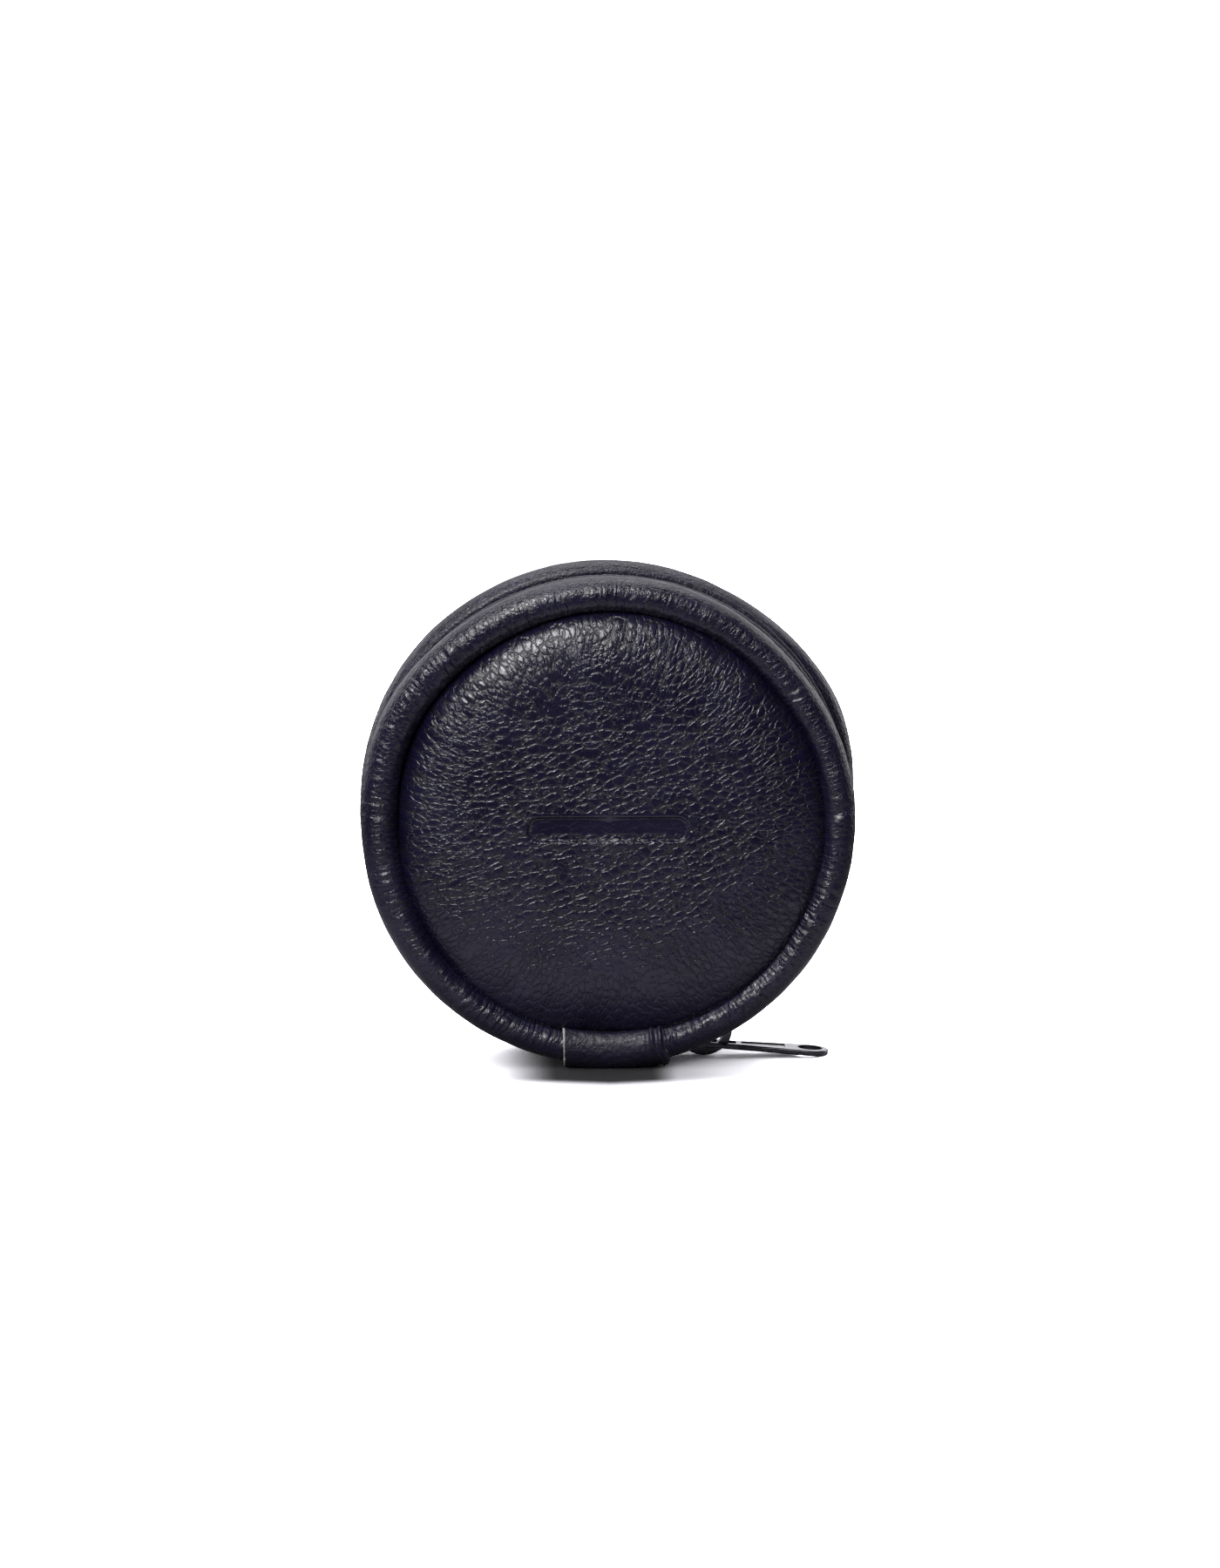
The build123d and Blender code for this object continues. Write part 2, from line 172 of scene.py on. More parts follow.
# --- mesh helpers -------------------------------------------------------------------------------
def mesh_object(name, verts, faces, material, uvs=None, shade=True):
    mesh = bpy.data.meshes.new(name)
    mesh.from_pydata((np.asarray(verts, float) * MM).tolist(), [], [tuple(f) for f in faces])
    if uvs is not None:
        layer = mesh.uv_layers.new(name="mm")
        loops = np.zeros(len(mesh.loops), np.int32)
        mesh.loops.foreach_get("vertex_index", loops)
        layer.data.foreach_set("uv", np.asarray(uvs, np.float32)[loops].ravel())
    mesh.polygons.foreach_set("use_smooth", np.full(len(mesh.polygons), shade))
    mesh.materials.append(material)
    mesh.update()
    obj = bpy.data.objects.new(name, mesh)
    bpy.context.scene.collection.objects.link(obj)
    return obj


def grid(name, points, material, close_u=False, close_v=False, uv=None, flip=False):
    """A quad mesh from a grid of points. uv is a grid of the same shape, with no seam where it closes."""
    nu, nv = points.shape[:2]
    index = np.arange(nu * nv).reshape(nu, nv)
    if close_u:
        index = np.vstack([index, index[:1]])
    if close_v:
        index = np.hstack([index, index[:, :1]])
    a, b, c, d = index[:-1, :-1], index[1:, :-1], index[1:, 1:], index[:-1, 1:]
    faces = np.stack([a, b, c, d] if not flip else [a, d, c, b], -1).reshape(-1, 4)
    uvs = None if uv is None else uv.reshape(-1, 2)
    return mesh_object(name, points.reshape(-1, 3), faces.tolist(), material, uvs)


def join(name, parts):
    """Several meshes as one object."""
    bpy.ops.object.select_all(action="DESELECT")
    for part in parts:
        part.select_set(True)
    bpy.context.view_layer.objects.active = parts[0]
    bpy.ops.object.join()
    parts[0].name = name
    return parts[0]


def cap(points):
    """Centre points of both ends of a tube of rings, for closing it."""
    return points[0].mean(0), points[-1].mean(0)


def tube_mesh(name, rings, material, closed_path=False, uv=None):
    """A tube through rings of points, with both ends closed by a fan."""
    nu, nv = rings.shape[:2]
    index = np.arange(nu * nv).reshape(nu, nv)
    wrapped = np.hstack([index, index[:, :1]])
    a, b, c, d = wrapped[:-1, :-1], wrapped[1:, :-1], wrapped[1:, 1:], wrapped[:-1, 1:]
    faces = np.stack([a, b, c, d], -1).reshape(-1, 4).tolist()
    verts = rings.reshape(-1, 3)
    uvs = None if uv is None else uv.reshape(-1, 2)
    if closed_path:
        a, b, c, d = wrapped[-1, :-1], wrapped[0, :-1], wrapped[0, 1:], wrapped[-1, 1:]
        faces += np.stack([a, b, c, d], -1).reshape(-1, 4).tolist()
    else:
        first, last = cap(rings)
        verts = np.vstack([verts, first, last])
        n = nu * nv
        faces += [(wrapped[0, k + 1], wrapped[0, k], n) for k in range(nv)]
        faces += [(wrapped[-1, k], wrapped[-1, k + 1], n + 1) for k in range(nv)]
        if uvs is not None:
            uvs = np.vstack([uvs, uvs[0], uvs[-1]])
    return mesh_object(name, verts, faces, material, uvs)


# --- materials ----------------------------------------------------------------------------------
class Shader:
    """A material's nodes, made by calls that take numbers or other nodes' outputs as inputs."""

    def __init__(self, name=None, tree=None):
        if tree is None:
            self.material = bpy.data.materials.new(name)
            self.material.use_nodes = True
            tree = self.material.node_tree
            self.principled = tree.nodes["Principled BSDF"]
        self.tree = tree

    def put(self, socket, value):
        if isinstance(value, bpy.types.NodeSocket):
            self.tree.links.new(value, socket)
        elif value is not None:
            socket.default_value = value

    def node(self, kind, *values, out=0, **props):
        node = self.tree.nodes.new("ShaderNode" + kind)
        named = props.pop("inputs", {})
        for key, value in props.items():
            setattr(node, key, value)
        for socket, value in zip(node.inputs, values):
            self.put(socket, value)
        for key, value in named.items():
            self.put(node.inputs[key], value)
        return node.outputs[out]

    def math(self, operation, *values):
        return self.node("Math", *values, operation=operation)

    def scale(self, vector, amount):
        return self.node("VectorMath", vector, tuple([amount] * 3) if np.isscalar(amount) else amount,
                         operation="MULTIPLY")

    def object_mm(self):
        return self.scale(self.node("TexCoord", out=3), 1000.0)

    def uv_mm(self):
        return self.node("UVMap", uv_map="mm")

    def noise(self, vector, size, detail=2.0, roughness=0.5, colour=False):
        return self.node("TexNoise", out=1 if colour else 0,
                         inputs={"Vector": vector, "Scale": 1 / size, "Detail": detail,
                                 "Roughness": roughness})

    def cells(self, vector, size, feature="DISTANCE_TO_EDGE"):
        return self.node("TexVoronoi", feature=feature,
                         inputs={"Vector": vector, "Scale": 1 / size, "Randomness": 1.0})

    def ramp(self, value, a, b, low=0.0, high=1.0, kind="SMOOTHSTEP"):
        return self.node("MapRange", value, a, b, low, high, interpolation_type=kind)

    def mix(self, share, a, b):
        return self.math("ADD", a, self.math("MULTIPLY", share, self.math("SUBTRACT", b, a)))

    def colours(self, share, a, b):
        node = self.tree.nodes.new("ShaderNodeMix")
        node.data_type = "RGBA"
        for key, value in (("Factor_Float", share), ("A_Color", a), ("B_Color", b)):
            self.put([s for s in node.inputs if s.identifier == key][0], value)
        return [s for s in node.outputs if s.identifier == "Result_Color"][0]

    def bump(self, height, distance_mm, strength=1.0):
        return self.node("Bump", inputs={"Height": height, "Distance": distance_mm * MM,
                                         "Strength": strength})

    def finish(self, **values):
        for key, value in values.items():
            self.put(self.principled.inputs[key.replace("_", " ")], value)
        return self.material


def jitter(sh, vector, size, amount):
    """The vector pushed about by noise, so that cells aren't straight-sided."""
    push = sh.node("VectorMath", sh.noise(vector, size, colour=True), (0.5, 0.5, 0.5), operation="SUBTRACT")
    return sh.node("VectorMath", vector, sh.scale(push, amount), operation="ADD")


def round_about(sh, at, reference, third):
    """The position rolled on a cylinder of that radius, so that a pattern follows the rim with no seam."""
    x = sh.node("SeparateXYZ", at, out=0)
    z = sh.math("SUBTRACT", sh.node("SeparateXYZ", at, out=2), CENTRE)
    squares = sh.math("ADD", sh.math("MULTIPLY", x, x), sh.math("MULTIPLY", z, z))
    radius = sh.math("MAXIMUM", sh.math("SQRT", squares), 1.0)
    scale = sh.math("DIVIDE", reference, radius)
    rolled = sh.node("CombineXYZ", sh.math("MULTIPLY", x, scale), sh.math("MULTIPLY", z, scale),
                     third(radius))
    return rolled, radius


def pebbles(sh, vector, size):
    """Height of leather grain: rounded pebbles, the creases between them, some faded, and finer creases."""
    wobbly = jitter(sh, jitter(sh, vector, size * 1.4, size * 0.8), size * 0.36, size * 0.26)
    fade = sh.ramp(sh.noise(vector, size * 2.2, detail=1.0), 0.20, 0.46)
    crease = sh.mix(fade, 0.8, sh.ramp(sh.cells(wobbly, size), 0.0, 0.17))
    dome = sh.ramp(sh.cells(wobbly, size, feature="SMOOTH_F1"), 0.05, 0.62, 1.0, 0.0)
    small = sh.cells(jitter(sh, vector, size * 0.7, size * 0.5), size * 0.45)
    patches = sh.ramp(sh.noise(vector, size * 1.3, detail=1.0), 0.42, 0.62)
    fine = sh.mix(patches, 1.0, sh.ramp(small, 0.0, 0.22))
    creases = sh.math("ADD", sh.math("MULTIPLY", crease, 0.52), sh.math("MULTIPLY", fine, 0.16))
    return sh.math("ADD", creases, sh.math("MULTIPLY", dome, 0.32))


LEATHER_DARK = (0.0028, 0.0021, 0.0105, 1)
LEATHER_LIGHT = (0.0052, 0.0042, 0.0165, 1)


def finish_leather(sh, height, wear, roughness, depth):
    """Satin black leather, smoother on the pebbles than in the creases, where painted shade darkens the
    colour.
    """
    tone = sh.colours(sh.ramp(wear, 0.35, 0.7), LEATHER_DARK, LEATHER_LIGHT)
    # painted shade: the grain's low creases get a darker base colour, standing in for shade falling into
    # them
    tone = sh.colours(sh.ramp(height, 0.15, 0.6), (0.0022, 0.0019, 0.0042, 1), tone)
    rough = sh.math("ADD", roughness, sh.math("MULTIPLY", sh.math("SUBTRACT", wear, 0.5), 0.14))
    rough = sh.math("ADD", rough, sh.ramp(height, 0.2, 0.8, 0.14, -0.03))
    return sh.finish(Base_Color=tone, Roughness=rough, Normal=sh.bump(height, depth),
                     Specular_IOR_Level=0.38, Coat_Weight=0.06, Coat_Roughness=0.28)


def leather(name, grain=1.3, depth=0.16, roughness=0.44, drawn=0.5):
    """Black pebbled leather wrapped round the purse: drawn across its width inside, along it on the rim."""
    sh = Shader(name)
    at = sh.object_mm()
    y = sh.node("SeparateXYZ", at, out=1)

    def depth_in(share):
        return lambda radius: sh.math("MULTIPLY", sh.math("ADD", y, radius), share)

    across, radius = round_about(sh, at, RIM, depth_in(0.45))
    along, _ = round_about(sh, at, RIM * 0.5, depth_in(0.9))
    rim = sh.ramp(radius, RIM - 2.4, RIM - 0.9)
    pulled = sh.mix(rim, pebbles(sh, across, grain), pebbles(sh, along, grain))
    height = sh.mix(drawn, pebbles(sh, at, grain), pulled)
    fine = sh.noise(at, 0.16, detail=3.0)
    height = sh.math("ADD", height, sh.math("MULTIPLY", fine, 0.12))
    return finish_leather(sh, height, sh.noise(at, 9.0, detail=3.0), roughness, depth)


def panel_leather(name):
    """The panel's leather: pebbles drawn sideways in the middle, and into radial creases at the rim."""
    sh = Shader(name)
    at = sh.object_mm()
    drawn, radius = round_about(sh, at, 34.0, lambda radius: sh.math("MULTIPLY", radius, 0.52))
    turned = sh.node("VectorRotate", at, inputs={"Angle": np.radians(14)}, rotation_type="Y_AXIS")
    middle = pebbles(sh, sh.scale(turned, (0.72, 1.0, 1.0)), 1.5)
    outer = pebbles(sh, drawn, 1.1)
    patch = sh.ramp(sh.noise(at, 10.0, detail=1.0), 0.3, 0.7, -5.0, 5.0)
    height = sh.mix(sh.ramp(sh.math("ADD", radius, patch), 24.0, 33.0), middle, outer)
    low = sh.node("SeparateXYZ", at, out=2)
    height = sh.mix(sh.ramp(sh.math("ADD", low, patch), 14.0, 32.0, 0.35, 0.0), height, 0.8)
    aside = sh.math("ABSOLUTE", sh.node("SeparateXYZ", at, out=0))
    up = sh.math("ABSOLUTE", sh.math("SUBTRACT", low, CENTRE + 0.6))
    pressed = sh.math("MULTIPLY", sh.ramp(aside, PRESS_LENGTH / 2 - 1.2, PRESS_LENGTH / 2, 1.0, 0.0),
                      sh.ramp(up, PRESS_HEIGHT / 2 - 0.4, PRESS_HEIGHT / 2, 1.0, 0.0))
    pressed = sh.math("MULTIPLY", pressed, sh.math("LESS_THAN", sh.node("SeparateXYZ", at, out=1), 0.0))
    height = sh.mix(sh.math("MULTIPLY", pressed, 0.75), height, 0.7)
    fine = sh.noise(at, 0.16, detail=3.0)
    height = sh.math("ADD", height, sh.math("MULTIPLY", fine, 0.12))
    return finish_leather(sh, height, sh.noise(at, 12.0, detail=3.0), 0.27, 0.20)


def raw_leather(name):
    """The cut edge of black leather: pale grey-brown fibres."""
    sh = Shader(name)
    at = sh.object_mm()
    fibre = sh.noise(at, 0.25, detail=4.0, roughness=0.7)
    tone = sh.colours(sh.ramp(fibre, 0.3, 0.7), (0.10, 0.09, 0.085, 1), (0.42, 0.39, 0.36, 1))
    return sh.finish(Base_Color=tone, Roughness=0.85, Normal=sh.bump(fibre, 0.08))


def weave(sh, across, along, pitch):
    """Height of a plain weave from two coordinates in millimetres."""
    a = sh.math("SINE", sh.math("MULTIPLY", across, TURN / pitch))
    b = sh.math("SINE", sh.math("MULTIPLY", along, TURN / pitch))
    return sh.ramp(sh.math("MULTIPLY", a, b), -1.0, 1.0, kind="LINEAR")


def cloth(name, dark, light, pitch, depth=0.05, roughness=0.8, twill=False):
    """Woven cloth in the UV's directions; twill shifts each row to make diagonal ribs."""
    sh = Shader(name)
    u = sh.node("SeparateXYZ", sh.uv_mm(), out=0)
    v = sh.node("SeparateXYZ", sh.uv_mm(), out=1)
    if twill:
        diagonal = sh.math("ADD", u, v)
        rib = sh.math("SINE", sh.math("MULTIPLY", diagonal, TURN / (pitch * 2)))
        yarn = sh.math("SINE", sh.math("MULTIPLY", v, TURN / pitch))
        height = sh.ramp(sh.math("ADD", rib, sh.math("MULTIPLY", yarn, 0.5)), -1.5, 1.5, kind="LINEAR")
    else:
        height = weave(sh, u, v, pitch)
    fuzz = sh.noise(sh.object_mm(), pitch * 0.6, detail=3.0)
    height = sh.math("ADD", height, sh.math("MULTIPLY", fuzz, 0.5))
    # partly painted shade: the low parts of the weave get the dark colour and the raised yarns the light
    # one, with random fuzz mottling mixed in
    tone = sh.colours(sh.ramp(height, 0.2, 1.2), dark, light)
    return sh.finish(Base_Color=tone, Roughness=roughness, Normal=sh.bump(height, depth), Sheen_Weight=0.15,
                     Sheen_Roughness=0.4)


def metal(name):
    """Gunmetal plate with fine brushing and random wear, with painted shade darkening its edges and a
    painted highlight brightening its flat faces.
    """
    sh = Shader(name)
    at = sh.object_mm()
    brush = sh.noise(sh.scale(at, (0.6, 6.0, 6.0)), 1.0, detail=4.0, roughness=0.6)
    rub = sh.noise(at, 2.6, detail=3.0)
    worn = sh.ramp(rub, 0.35, 0.75)
    edge_shade_and_wear = sh.colours(worn, (0.070, 0.070, 0.077, 1), (0.13, 0.13, 0.14, 1))
    face_sheen_and_wear = sh.colours(worn, (0.36, 0.36, 0.375, 1), (0.52, 0.52, 0.54, 1))
    # painted highlight: faces whose object-space normal runs along Z get the bright colour, the edges a
    # darker painted shade
    flat = sh.math("ABSOLUTE", sh.node("SeparateXYZ", sh.node("TexCoord", out=1), out=2))
    tone = sh.colours(sh.ramp(flat, 0.80, 0.97), edge_shade_and_wear, face_sheen_and_wear)
    rough = sh.ramp(brush, 0.3, 0.7, 0.18, 0.30)
    return sh.finish(Base_Color=tone, Metallic=1.0, Roughness=rough, Normal=sh.bump(brush, 0.006))


def nylon(name):
    """Black nylon monofilament, with a soft shine and slight waviness."""
    sh = Shader(name)
    at = sh.object_mm()
    wave = sh.noise(at, 0.5, detail=2.0)
    tone = sh.colours(wave, (0.005, 0.005, 0.006, 1), (0.011, 0.011, 0.013, 1))
    return sh.finish(Base_Color=tone, Roughness=sh.ramp(wave, 0.3, 0.7, 0.42, 0.56),
                     Normal=sh.bump(wave, 0.02), Specular_IOR_Level=0.32)


def plain(name, colour, size, roughness, depth=0.04):
    """A matt mottled material for pieces inside the purse."""
    sh = Shader(name)
    grain = sh.noise(sh.object_mm(), size, detail=4.0, roughness=0.65)
    light = tuple([min(1.0, c * 1.25) for c in colour[:3]] + [1])
    return sh.finish(Base_Color=sh.colours(grain, colour, light), Roughness=roughness,
                     Normal=sh.bump(grain, depth))


PANEL_LEATHER = panel_leather("panel_leather")
PIPING_LEATHER = leather("piping_leather", grain=0.95, depth=0.13, roughness=0.31, drawn=0.65)
STRIP_LEATHER = leather("strip_leather", grain=1.1, depth=0.14, roughness=0.45, drawn=0.4)
WRAP_LEATHER = leather("wrap_leather", grain=0.8, depth=0.07, roughness=0.46, drawn=0.3)
RAW_EDGE = raw_leather("raw_leather_edge")
LINING_CLOTH = cloth("lining_twill", (0.012, 0.012, 0.014, 1), (0.045, 0.044, 0.05, 1), 0.42, twill=True)
TAPE_CLOTH = cloth("zip_tape_weave", (0.009, 0.009, 0.011, 1), (0.028, 0.028, 0.032, 1), 0.5, depth=0.06)
BINDING_CLOTH = cloth("binding_ribbon", (0.010, 0.010, 0.012, 1), (0.035, 0.035, 0.04, 1), 0.6, depth=0.08)
THREAD = cloth("bonded_thread", (0.012, 0.012, 0.014, 1), (0.05, 0.05, 0.056, 1), 0.3, depth=0.03,
               roughness=0.55)
METAL = metal("gunmetal")
NYLON = nylon("nylon_coil")
BOARD = plain("stiffener_board", (0.30, 0.25, 0.19, 1), 0.8, 0.85)
CORD = plain("cotton_cord", (0.60, 0.57, 0.50, 1), 0.5, 0.9, 0.1)


# --- piping -------------------------------------------------------------------------------------
def piping_tube(side, angle, phi):
    """Smooth radius of the piping, thinner on the side that is pressed against the panel."""
    pressed = np.maximum(crease_radius(side, angle) - (PITCH - TUBE) - 0.35, 0)
    tube = TUBE - pressed * (0.5 - 0.5 * np.cos(phi)) - 0.25 * bump(turn_gap(phi, np.radians(150)), 0, 0.5)
    return np.maximum(tube, CORD_RADIUS + 0.25)


def piping(name, side, body):
    """The leather over the cord, gathered into fine puckers along its inner face where it is crowded."""
    count, around = 1500, 54
    angle = (np.arange(count) / count * TURN)[:, None]
    # phi is 0 on the outside of the rim, a quarter turn at the face and half a turn at the crease
    phi = (np.arange(around) / around * TURN)[None, :]
    u, v = angle / TURN, phi / TURN
    seed = 20 if side < 0 else 60
    gather = bump(turn_gap(phi, np.radians(100)), 0, np.radians(50))
    drift = u + 0.0020 * noise(u, v, 260, 9, seed) + 0.0010 * np.sin(phi * 2)
    fold = 1 - 2 * np.abs(noise(drift, v, 330, 5, seed + 1)) ** 0.8
    fine = noise(drift + 0.3, v, 520, 11, seed + 2)
    strength = 0.55 + 0.65 * noise(u, 0 * u, 22, 1, seed + 3) ** 2 + 0.25 * noise(u, v, 60, 5, seed + 6)
    tube = piping_tube(side, angle, phi) + (0.20 * fold + 0.10 * fine) * gather * strength
    tube = tube + 0.05 * noise(u, v, 90, 12, seed + 4) + 0.09 * noise(u, v, 26, 4, seed + 5)
    if side < 0:
        # a pinch across the piping on the right, where it was bent
        slant = turn_gap(angle, np.radians(92) + 0.03 * np.cos(phi))
        face = bump(turn_gap(phi, np.radians(95)), 0, 1.0)
        tube = tube + (0.22 * bump(slant, -0.030, 0.018) - 0.45 * bump(slant, 0.006, 0.022)) * face
        tube = tube + 0.16 * bump(slant, 0.05, 0.03) * face
    tube = np.maximum(tube, CORD_RADIUS + 0.12)
    radius = PITCH + tube * np.cos(phi)
    along = side * (RING_Y + tube * np.sin(phi))
    radius = warp(side, angle, radius, along)
    points = place(angle, radius, along)
    points[..., 2] = np.maximum(points[..., 2], 0.12)
    obj = grid(name, points, PIPING_LEATHER, True, True, flip=side > 0)
    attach(obj, body)
    return obj


def cord(name, side, body):
    """The filler cord inside the piping, which follows the rim's own shape."""
    count, around = 360, 14
    angle = (np.arange(count) / count * TURN)[:, None]
    phi = (np.arange(around) / around * TURN)[None, :]
    tube = CORD_RADIUS - 0.12
    radius = PITCH + tube * np.cos(phi)
    along = side * (RING_Y + tube * np.sin(phi))
    obj = grid(name, place(angle, warp(side, angle, radius, along), along), CORD, True, True, flip=side > 0)
    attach(obj, body)
    return obj


def wrap_sleeve(name, side, body):
    """Leather over the piping's join: flat below, cut straight at one end, crumpled at the other."""
    count, around = 170, 80
    run = np.linspace(0, 1, count)[:, None]
    turn = np.linspace(0, 1, around)[None, :]
    phi = np.radians(150) + (np.radians(-76) - np.radians(150)) * turn
    base = piping_tube(side, 0.0, phi) + 0.05
    thick = WRAP_TUBE - TUBE
    cut = np.arcsin(WRAP_CUT / (PITCH + (base + thick) * np.cos(phi)))
    ragged = 0.010 * noise(turn * 0.5, 0 * turn, 9, 1, 5) + 0.005 * noise(turn * 0.5, 0 * turn, 23, 1, 6)
    end = (WRAP_END if side < 0 else -WRAP_START) + ragged - 0.012 * smooth(0.45, 0.8, turn)
    angle = -cut + (end + cut) * run
    from_cut = (angle + cut) * RIM
    from_end = (end - angle) * RIM
    upper = 1 - smooth(0.15, 0.62, turn)
    second = 1.15 + 1.5 * upper
    ridges = 0.40 * bump(from_end, 0.75, 0.36) + 0.42 * bump(from_end, second, 0.36)
    ridges = ridges - 0.45 * bump(from_end, 0.5 * (0.75 + second), 0.26 + 0.22 * upper)
    ridges = ridges - 0.22 * bump(from_end, second + 0.9, 0.5)
    ridges = ridges * (0.6 + 0.7 * noise(turn * 0.5 + 0.1, 0 * turn, 14, 1, 8))
    soft = 0.05 * noise(run * 0.4, turn, 16, 9, 7) + 0.05 * noise(run * 0.4, turn, 60, 30, 9)
    ticks = 0.10 * noise(run * 0.5, turn, 18, 3, 10) * bump(phi, np.radians(128), 0.35)
    outer = base + thick * (0.40 + 0.60 * smooth(-0.1, 0.35, from_cut)) * smooth(-0.35, 0.6, from_end)
    outer = outer + ridges + soft + ticks
    outer = outer - 0.45 * smooth(0.93, 1.0, 1 - turn) - 0.35 * smooth(0.94, 1.0, turn)
    if side > 0:
        angle = -angle
    layers = []
    for tube in (outer, base + 0 * outer):
        radius = PITCH + tube * np.cos(phi)
        along = side * (RING_Y + tube * np.sin(phi))
        points = place(angle + 0 * radius, warp(side, angle, radius, along), along)
        points[..., 2] = np.maximum(points[..., 2], 0.02)
        layers.append(points)
    closed = np.concatenate([layers[0], layers[1][:, ::-1]], 1)
    obj = tube_mesh(name, closed, WRAP_LEATHER)
    obj.data.materials.append(RAW_EDGE)
    # the cut shows pale along the straight end: its cap and a thin uneven line over the edge
    for polygon in obj.data.polygons[(count - 1) * around * 2:]:
        polygon.material_index = 1
        polygon.use_smooth = False
    rows = 2 + (RNG.uniform(0, 1, around) > 0.6)
    for k in range(around - 1):
        for j in range(rows[k]):
            obj.data.polygons[j * around * 2 + k].material_index = 1
    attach(obj, body)
    return obj


# --- padded panels ------------------------------------------------------------------------------
def dome_profile(radius):
    """Height of the padded panel from its own crown, from the slope at each radius."""
    at = np.linspace(0, 43, 861)
    knots = [0, 8, 20, 27, 31, 34, 37, 39.5, 40.6, 41.5, 43]
    slopes = np.radians([0, 0.6, 2.0, 4.2, 8.0, 13.5, 19, 31, 46, 62, 76])
    slope = np.interp(at, knots, slopes)
    fall = np.concatenate([[0], np.cumsum(np.tan((slope[1:] + slope[:-1]) / 2)) * (at[1] - at[0])])
    return -np.interp(radius, at, fall)


def crease_height(side, angle):
    """Distance from the zip line to the piping's skin where the panel dips under it."""
    phi = np.linspace(np.pi, np.pi / 2, 60)
    heights = []
    for a in angle.ravel():
        tube = piping_tube(side, a, phi)
        skin_r, skin_y = PITCH + tube * np.cos(phi), RING_Y + tube * np.sin(phi)
        heights.append(np.interp(crease_radius(side, a), skin_r, skin_y))
    return np.array(heights).reshape(angle.shape)


def pill(x, z, half_length, half_height, edge):
    """1 inside a lying pill shape, 0 outside it, with a soft edge."""
    away = np.hypot(np.maximum(np.abs(x) - (half_length - half_height), 0), z)
    return 1 - smooth(half_height - edge, half_height + edge, away)


def panel(name, side, body):
    """Leather drawn over foam: a soft dome with gathers round its edge."""
    count, rings = 640, 132
    angle = (np.arange(count) / count * TURN)[:, None]
    share = np.linspace(0, 1, rings)[None, :] ** 0.82
    crown = DOME + 1.8
    at = np.linspace(0, 43, 861)
    meeting = np.interp(crown - crease_height(side, angle), -dome_profile(at), at)
    radius = share * crease_radius(side, angle) * 43 / meeting
    u = angle / TURN
    height = crown + dome_profile(share * 43)
    gathers = smooth(0.66, 0.90, share) * (1 - smooth(0.955, 1.0, share))
    drift = u + 0.002 * noise(u, share, 60, 6, 31)
    tuck = noise(drift, share, 96, 3, 32 + side)
    pleats = 0.07 * (1 - 2 * np.abs(tuck)) + 0.05 * noise(drift, share, 190, 5, 36 + side)
    height = height + gathers * pleats
    x, z = radius * np.sin(angle), -radius * np.cos(angle)
    flat_u, flat_v = (x + 45) / 90, (z + 45) / 90
    height = height + 0.14 * noise(flat_u, flat_v, 7, 7, 41 + side)
    height = height + 0.04 * noise(flat_u, flat_v, 22, 22, 44 + side)
    if side < 0:
        height = height - 0.6 * pill(x + 0.2, z + 0.6, PRESS_LENGTH / 2, PRESS_HEIGHT / 2, 0.28)
        lip = pill(x + 0.2, z + 0.6, 16.5, 3.2, 0.7) - pill(x + 0.2, z + 0.6, 15.9, 2.6, 0.4)
        height = height + 0.07 * lip
    along = side * height
    radius = warp(side, angle, radius, along)
    points = place(angle, radius, along)
    obj = grid(name, points, PANEL_LEATHER, True, False, flip=side > 0)
    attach(obj, body)
    return obj


# --- gusset, hinge and stitches -----------------------------------------------------------------
def strip_section(edge):
    """Outer line of the gusset's leather: a turned edge, a flat, and a roll down into the piping seam."""
    thick = 1.0
    turned = [(STRIP_TOP - thick, edge + 0.9), (STRIP_TOP - thick, edge + 0.25),
              (STRIP_TOP - 0.6, edge + 0.05), (STRIP_TOP, edge + 0.04),
              (STRIP_TOP + 0.66, edge + 0.14), (STRIP_TOP + 0.92, edge + 0.42)]
    flat = [(STRIP_TOP + rise, edge + out) for rise, out in
            ((0.88, 0.72), (0.62, 1.02), (0.30, 1.35), (0.10, 1.8), (0.02, 2.25))]
    roll = [(STRIP_TOP - 0.06, edge + 2.75), (STRIP_TOP - 0.25, edge + 3.15), (STRIP_TOP - 0.62, edge + 3.5),
            (STRIP_TOP - 1.15, edge + 3.72), (STRIP_TOP - 1.9, edge + 3.6)]
    return np.array(turned + flat + roll)


def arc_count(start, end, step):
    return max(8, int(abs(end - start) * STRIP_TOP / step))


def gusset(name, side, body):
    section = strip_section(STRIP_EDGE)
    back = section[::-1] * [1, 1] - [0.9, 0]
    back = back[1:-1]
    loop = np.vstack([section, back + [0, 0.35]])
    start, end = HINGE_HALF - 0.01, TURN - HINGE_HALF + 0.01
    count = arc_count(start, end, 0.4)
    angle = np.linspace(start, end, count)[:, None]
    u = angle / TURN
    v = (np.arange(len(loop)) / len(loop))[None, :]
    upper = (np.arange(len(loop)) < len(section))[None, :]
    ripple = 0.07 * noise(u, v, 120, 8, 71 + side) + 0.04 * noise(u, v, 300, 16, 75 + side)
    stitch_row = bump(loop[None, :, 1], STRIP_EDGE + 1.55, 0.35)
    radius = loop[None, :, 0] + ripple * upper - 0.10 * stitch_row * upper
    along = side * (loop[None, :, 1] + 0.10 * noise(u, 0 * u, 40, 1, 79 + side))
    points = place(angle, warp(side, angle, radius, along), along + 0 * radius)
    arc = np.concatenate([[0], np.cumsum(np.hypot(*np.diff(loop, axis=0).T))])
    uv = np.stack(np.broadcast_arrays(angle * STRIP_TOP, arc[None, :]), -1)
    if side < 0:
        points, uv = points[:, ::-1], uv[:, ::-1]
    obj = tube_mesh(name, points, STRIP_LEATHER, uv=uv)
    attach(obj, body)
    return obj


